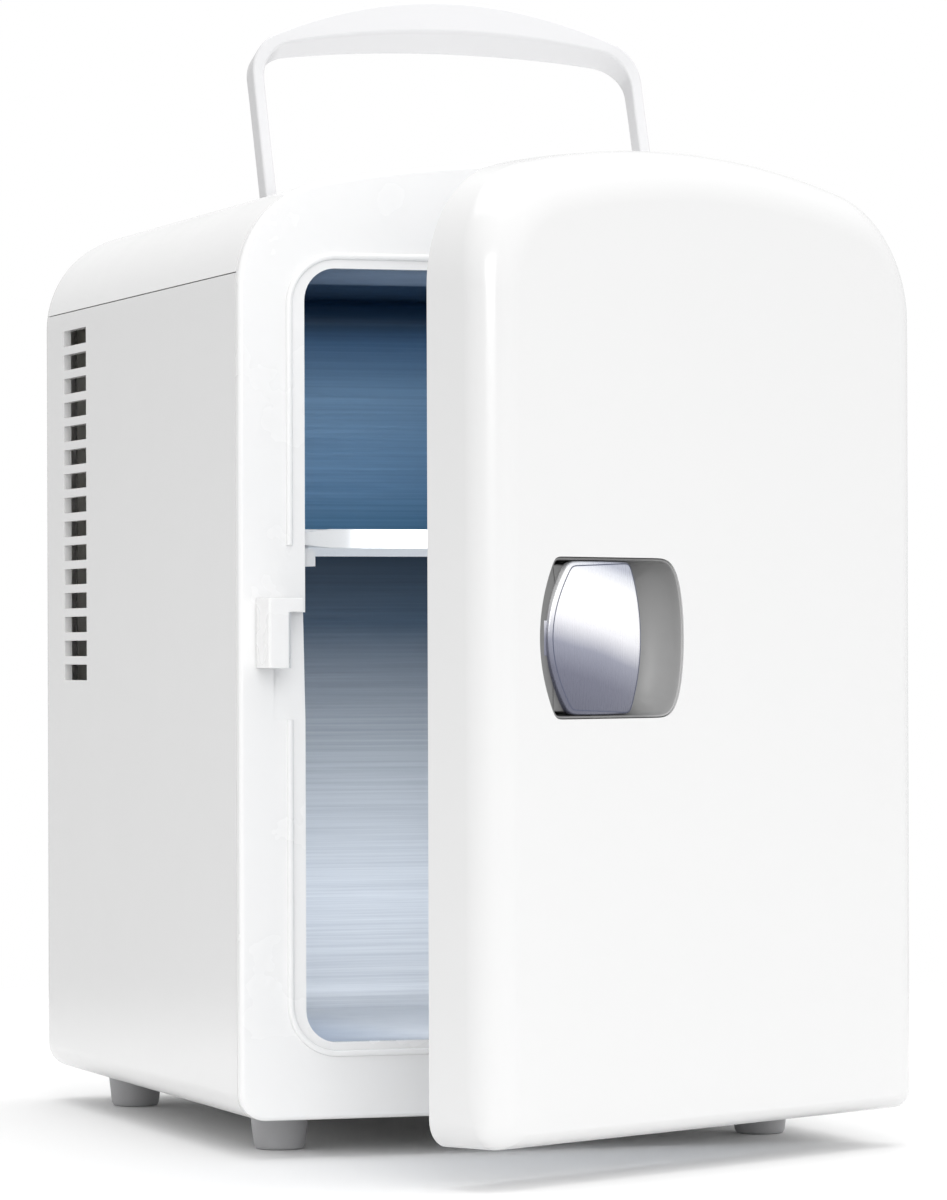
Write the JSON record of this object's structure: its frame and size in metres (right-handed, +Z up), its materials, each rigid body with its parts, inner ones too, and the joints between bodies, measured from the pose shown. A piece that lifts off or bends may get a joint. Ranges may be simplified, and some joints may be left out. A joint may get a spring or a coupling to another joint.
{
  "type": "mini fridge",
  "caption": "Compact arched-top thermoelectric fridge with a hinged door, pull latch, inner shelf, side vents, feet and a fold-back carry handle.",
  "frame": {"origin": "centre of the footprint of the whole fridge as it stands with the door ajar, at the height of the feet", "axes": "+Z up; the closed front faces -Y; +X is to the right seen from the front; the door hinge is at the right front edge"},
  "size_m": [0.1812, 0.3226, 0.3146],
  "materials": {
    "shell": "moulded white, gloss",
    "frame": "moulded white, gloss",
    "door": "moulded white, gloss",
    "handle": "moulded white, satin gloss",
    "inner": "moulded white, satin",
    "cup": "grey, satin",
    "feet": "grey, matt",
    "lever": "satin silver plating",
    "lining": "brushed across",
    "screws": "zinc plated",
    "contacts": "bare",
    "insulation": "rigid foam, off-white",
    "black": "black, matt",
    "seal": "grey, matt",
    "ceramic": "white ceramic faces",
    "board": "green circuit board"
  },
  "bodies": {
    "cabinet": {"lower_shell": "shell", "top_cover": "shell", "rear_cover": "shell", "front_frame": "frame", "latch_catch": "frame", "inner_liner": "lining", "cabinet_foam": "insulation", "shelf": "inner", "shelf_rail_left": "inner", "shelf_rail_right": "inner", "foot_front_left": "feet", "foot_front_right": "feet", "foot_rear_left": "feet", "foot_rear_right": "feet", "cold_block": "lining", "cooling_module": "ceramic", "heat_sink": "lining", "fan_frame": "black", "power_board": "board", "transformer": "black", "ac_inlet": "black", "ac_pin_left": "contacts", "ac_pin_right": "contacts", "dc_inlet": "black", "dc_pin": "contacts", "switch_body": "black", "rear_screw_lower_left": "screws", "rear_screw_lower_right": "screws", "rear_screw_upper_left": "screws", "rear_screw_upper_right": "screws", "hinge_lug_lower": "frame", "hinge_lug_upper": "frame", "hinge_pin_lower": "screws", "hinge_pin_upper": "screws"},
    "door": {"door_shell": "door", "door_liner": "inner", "door_foam": "insulation", "door_gasket": "seal", "latch_cup": "cup", "latch_pin": "screws"},
    "lever": {"latch_lever": "lever"},
    "handle": {"handle": "handle"},
    "fan": {"fan_rotor": "black"},
    "knob": {"mode_knob": "inner"}
  },
  "joints": [
    {"name": "door_hinge", "type": "hinge", "parent": "cabinet", "child": "door", "pos_m": [0.08155, -0.06145, 0], "axis": [0, 0, 1], "range_deg": [-30.8, 75]},
    {"name": "latch_pull", "type": "hinge", "parent": "door", "child": "lever", "pos_m": [-0.04173, -0.14798, 0.1353], "axis": [0, 0, -1], "range_deg": [0, 20], "stiffness_Nm_per_rad": 0.01},
    {"name": "handle_swing", "type": "hinge", "parent": "cabinet", "child": "handle", "pos_m": [-0.00265, 0.02335, 0.2505], "axis": [1, 0, 0], "range_deg": [-50, 35]},
    {"name": "fan_spin", "type": "hinge", "parent": "cabinet", "child": "fan", "pos_m": [-0.00265, 0.12985, 0.175], "axis": [0, 1, 0], "continuous": true},
    {"name": "mode_switch", "type": "slide", "parent": "cabinet", "child": "knob", "axis": [1, 0, 0], "range_m": [-0.0035, 0.0035]}
  ]
}
